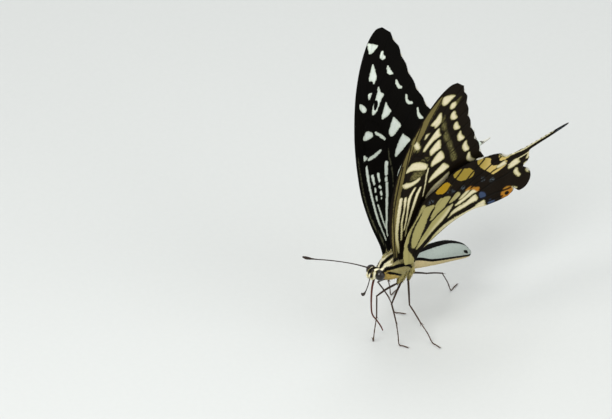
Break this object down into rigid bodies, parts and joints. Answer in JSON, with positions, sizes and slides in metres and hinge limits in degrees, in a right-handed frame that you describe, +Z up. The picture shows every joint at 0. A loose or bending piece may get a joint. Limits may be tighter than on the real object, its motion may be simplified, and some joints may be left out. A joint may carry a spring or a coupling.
{
  "type": "asian swallowtail butterfly",
  "caption": "Life-size still model of an Asian swallowtail standing with its wings raised in a V, tongue down, one tail whole and the other broken off.",
  "frame": {"origin": "centre of the bounding box at its bottom, on the floor that the six feet stand on", "axes": "+Z up, head towards -X, the butterfly's left side towards -Y"},
  "size_m": [0.059, 0.0284, 0.0659],
  "materials": {
    "head": "short black and cream hair scales",
    "eye": "glossy dark brown, finely faceted",
    "antenna": "matt black-brown, ringed",
    "proboscis": "satin dark red-brown",
    "thorax": "black and cream hair in stripes",
    "abdomen": "smooth pale grey-green scales with dark stripes",
    "forewing": "matt wing scales, black with cream spots and streaks",
    "hindwing": "matt wing scales, cream and black with blue, ochre and orange marks",
    "leg": "dark brown chitin"
  },
  "bodies": {
    "root": {"head": "head", "eye_left": "eye", "eye_right": "eye", "antenna_left": "antenna", "antenna_right": "antenna", "proboscis": "proboscis", "thorax": "thorax", "abdomen": "abdomen", "forewing_left": "forewing", "forewing_right": "forewing", "hindwing_left": "hindwing", "hindwing_right": "hindwing", "leg_fore_left_femur": "leg", "leg_fore_left_tibia": "leg", "leg_fore_left_tarsus": "leg", "leg_fore_right_femur": "leg", "leg_fore_right_tibia": "leg", "leg_fore_right_tarsus": "leg", "leg_mid_left_femur": "leg", "leg_mid_left_tibia": "leg", "leg_mid_left_tarsus": "leg", "leg_mid_right_femur": "leg", "leg_mid_right_tibia": "leg", "leg_mid_right_tarsus": "leg", "leg_hind_left_femur": "leg", "leg_hind_left_tibia": "leg", "leg_hind_left_tarsus": "leg", "leg_hind_right_femur": "leg", "leg_hind_right_tibia": "leg", "leg_hind_right_tarsus": "leg"}
  },
  "joints": []
}
